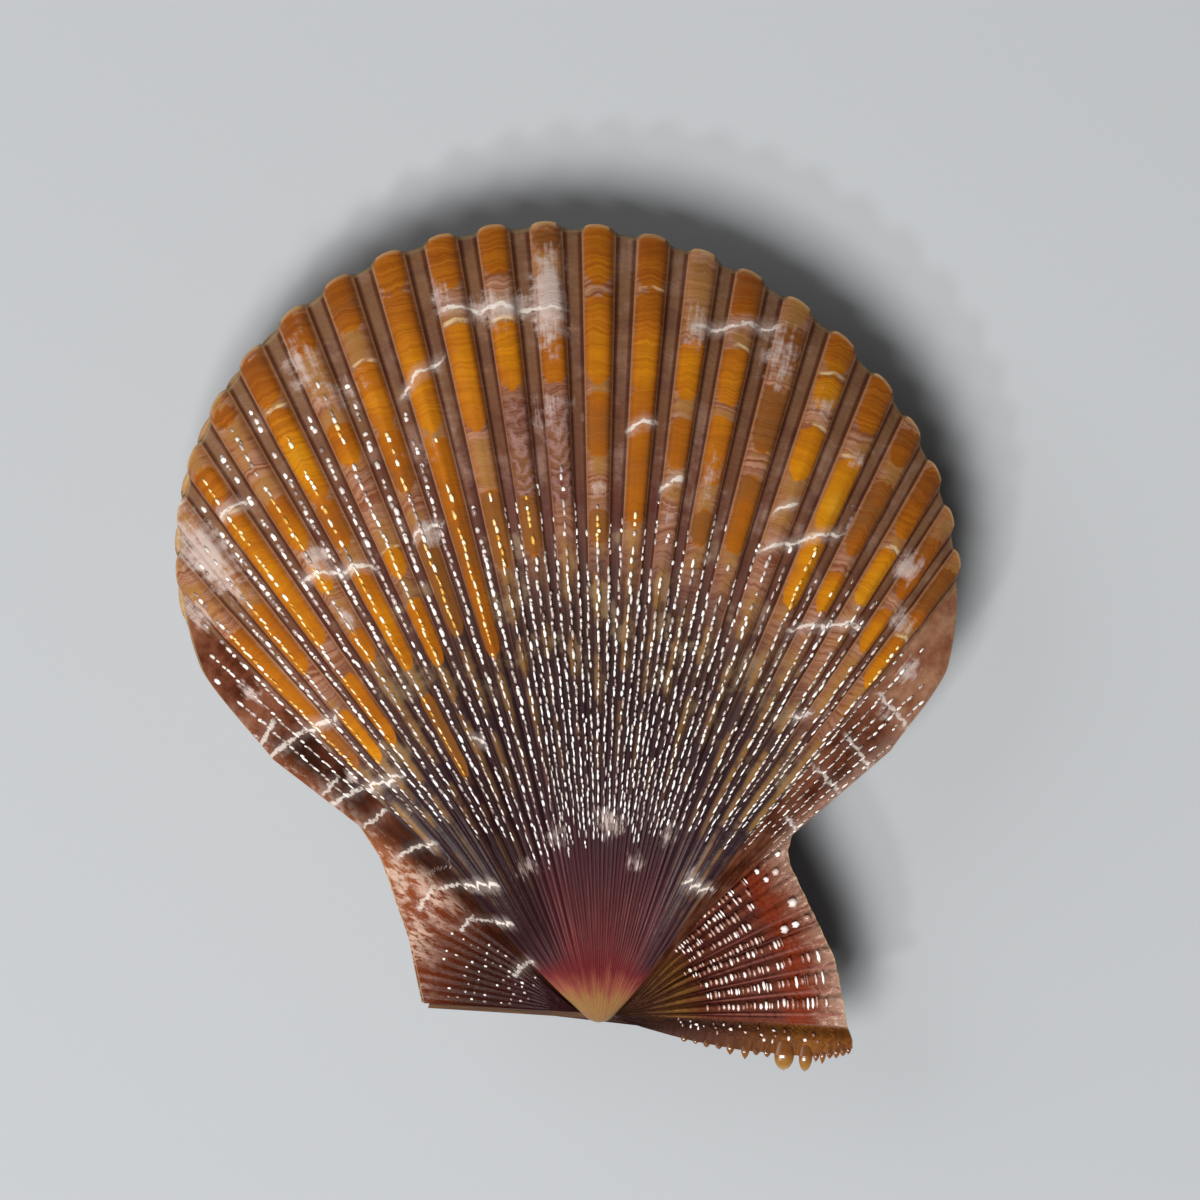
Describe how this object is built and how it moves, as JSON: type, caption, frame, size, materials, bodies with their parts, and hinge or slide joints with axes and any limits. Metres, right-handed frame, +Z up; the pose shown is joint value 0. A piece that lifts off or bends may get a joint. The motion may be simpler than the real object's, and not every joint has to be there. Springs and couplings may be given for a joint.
{
  "type": "chlamys benedicti scallop shell",
  "caption": "Closed pair of small scallop valves with radial ribs, scalloped margin, unequal ears, byssal notch and a spiny hinge flange, lying on its right valve.",
  "frame": {"origin": "centre of the bounding box in X and Y, at the height of the flat spot that the pair rests on", "axes": "+Y from the hinge to the ventral margin, +X along the hinge line towards the larger front ear, +Z up out of the left valve"},
  "size_m": [0.0158, 0.0168, 0.0058],
  "materials": {
    "mottled_shell": "glossy, mottled red-brown and purple with orange rays",
    "pale_mottled_shell": "glossy, paler and redder than the upper valve",
    "dried_ligament": "dull dark brown"
  },
  "bodies": {
    "root": {"left_valve": "mottled_shell", "right_valve": "pale_mottled_shell", "ligament": "dried_ligament"}
  },
  "joints": []
}
